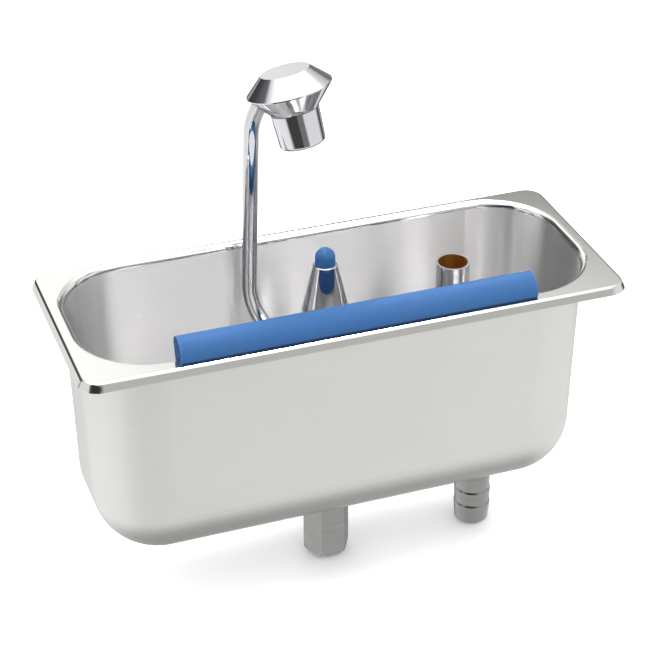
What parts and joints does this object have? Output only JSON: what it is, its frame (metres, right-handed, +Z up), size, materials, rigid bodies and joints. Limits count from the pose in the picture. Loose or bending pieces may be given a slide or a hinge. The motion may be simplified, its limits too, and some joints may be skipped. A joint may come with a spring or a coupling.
{
  "type": "portioning sink",
  "caption": "Drop-in deep rectangular basin with flat rim, push-valve scoop rinser on a bent riser, lift-out overflow pipe and knock bar.",
  "frame": {"origin": "middle of the rim in the plane of the worktop, where the lip's lower edge rests", "axes": "+X along the basin's length, +Y to the back rim, +Z up"},
  "size_m": [0.325, 0.132, 0.3211],
  "materials": {
    "basin_steel": "satin",
    "chrome_plate": "mirror polished",
    "blue_plastic": "fine matt",
    "machined_steel": "turned",
    "brass": "turned",
    "seal_rubber": "matt",
    "spring_steel": "drawn wire",
    "grey_plastic": "matt"
  },
  "bodies": {
    "sink": {"basin": "basin_steel", "knock_bar": "blue_plastic", "knock_bar_screws": "machined_steel", "valve_column": "chrome_plate", "valve_cone": "chrome_plate", "stem_gland": "brass", "gland_o_ring": "seal_rubber", "valve_seat_ring": "brass", "return_spring": "spring_steel", "inlet_hex_sleeve": "machined_steel", "riser_tube": "chrome_plate", "riser_union_nut": "chrome_plate", "riser_ferrule": "brass", "head_body": "chrome_plate", "head_cap": "chrome_plate", "nozzle_sleeve": "chrome_plate", "nozzle_gasket": "seal_rubber", "flow_screen": "grey_plastic", "waste_seat": "chrome_plate", "waste_sump": "machined_steel", "sump_gasket": "seal_rubber", "hose_tail": "machined_steel", "column_gasket": "seal_rubber", "inlet_gasket": "seal_rubber", "waste_gasket": "seal_rubber", "tail_gasket": "seal_rubber"},
    "pin": {"push_pin": "blue_plastic", "valve_stem": "machined_steel", "valve_washer": "seal_rubber", "valve_holder": "brass"},
    "overflow": {"overflow_pipe": "chrome_plate", "overflow_foot": "brass", "overflow_o_ring": "seal_rubber"}
  },
  "joints": [
    {"name": "pin_press", "type": "slide", "parent": "sink", "child": "pin", "axis": [0, 0, -1], "range_m": [0, 0.005], "stiffness_N_per_m": 900, "springref_m": -0.008, "deforming": ["return_spring"]},
    {"name": "overflow_lift", "type": "slide", "parent": "sink", "child": "overflow", "axis": [0, 0, 1], "range_m": [0, 0.18]}
  ]
}
